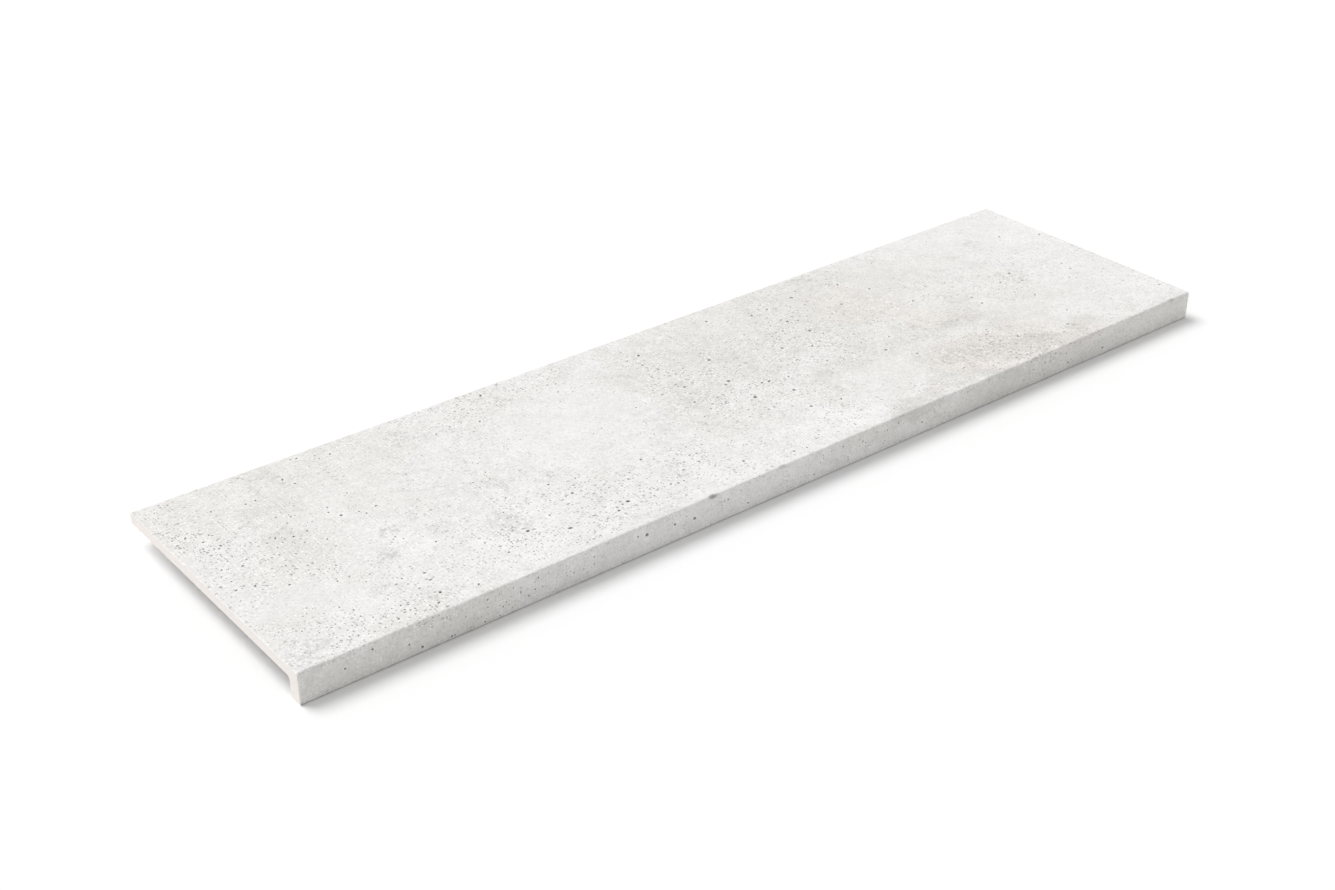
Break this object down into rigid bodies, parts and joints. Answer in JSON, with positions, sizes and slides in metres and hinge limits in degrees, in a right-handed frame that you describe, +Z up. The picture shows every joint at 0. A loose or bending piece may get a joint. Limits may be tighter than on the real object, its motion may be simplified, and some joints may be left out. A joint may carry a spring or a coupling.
{
  "type": "stair nosing tile",
  "caption": "Long flat stoneware stair tread tile with a turned-down front lip, rounded front edge and keying grooves underneath.",
  "frame": {"origin": "middle of the footprint, on the level of the lip's foot", "axes": "+X along the nosing, +Y from the nosing to the back edge, +Z up through the tread face"},
  "size_m": [1.197, 0.327, 0.034],
  "materials": {
    "stoneware": "matt, pale stone-look glaze on a bare fired body"
  },
  "bodies": {
    "root": {"nosing_tile": "stoneware"}
  },
  "joints": []
}
